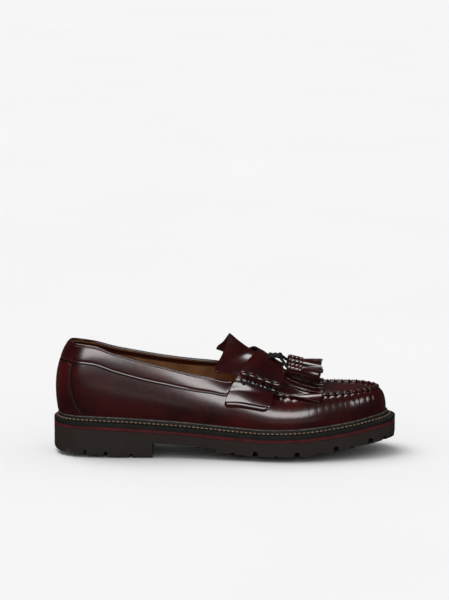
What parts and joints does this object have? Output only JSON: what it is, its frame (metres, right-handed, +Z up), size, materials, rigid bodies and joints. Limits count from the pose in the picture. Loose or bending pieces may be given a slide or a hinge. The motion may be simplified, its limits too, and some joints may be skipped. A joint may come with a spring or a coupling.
{
  "type": "kiltie loafer",
  "caption": "Right-foot kiltie loafer with a lugged rubber sole, hand-sewn apron, saddle strap, fringed flap and tassels.",
  "frame": {"origin": "middle of the sole's footprint, at the level that the sole stands on", "axes": "+X points to the toe, +Y to the medial side, +Z up"},
  "size_m": [0.3, 0.1032, 0.1054],
  "materials": {
    "rubber": "moulded brown-black rubber, satin",
    "red_rubber": "thin dark red layer, satin edge",
    "welt_leather": "black-brown welt with tan lockstitch",
    "lining": "tan-brown napped leather",
    "leather": "wine brush-off leather, high polish",
    "lace_cord": "dark waxed leather lace"
  },
  "bodies": {
    "root": {"outsole": "rubber", "midsole": "red_rubber", "welt": "welt_leather", "insole": "lining", "upper": "leather", "collar_band": "leather", "back_strip": "leather", "strap": "leather", "roll_lateral": "leather", "roll_medial": "leather", "kiltie": "leather", "lace_bar": "lace_cord", "lace_knot": "lace_cord", "lace_end_lateral": "lace_cord", "lace_end_medial": "lace_cord", "tassel_lateral": "leather", "tassel_medial": "leather"}
  },
  "joints": []
}
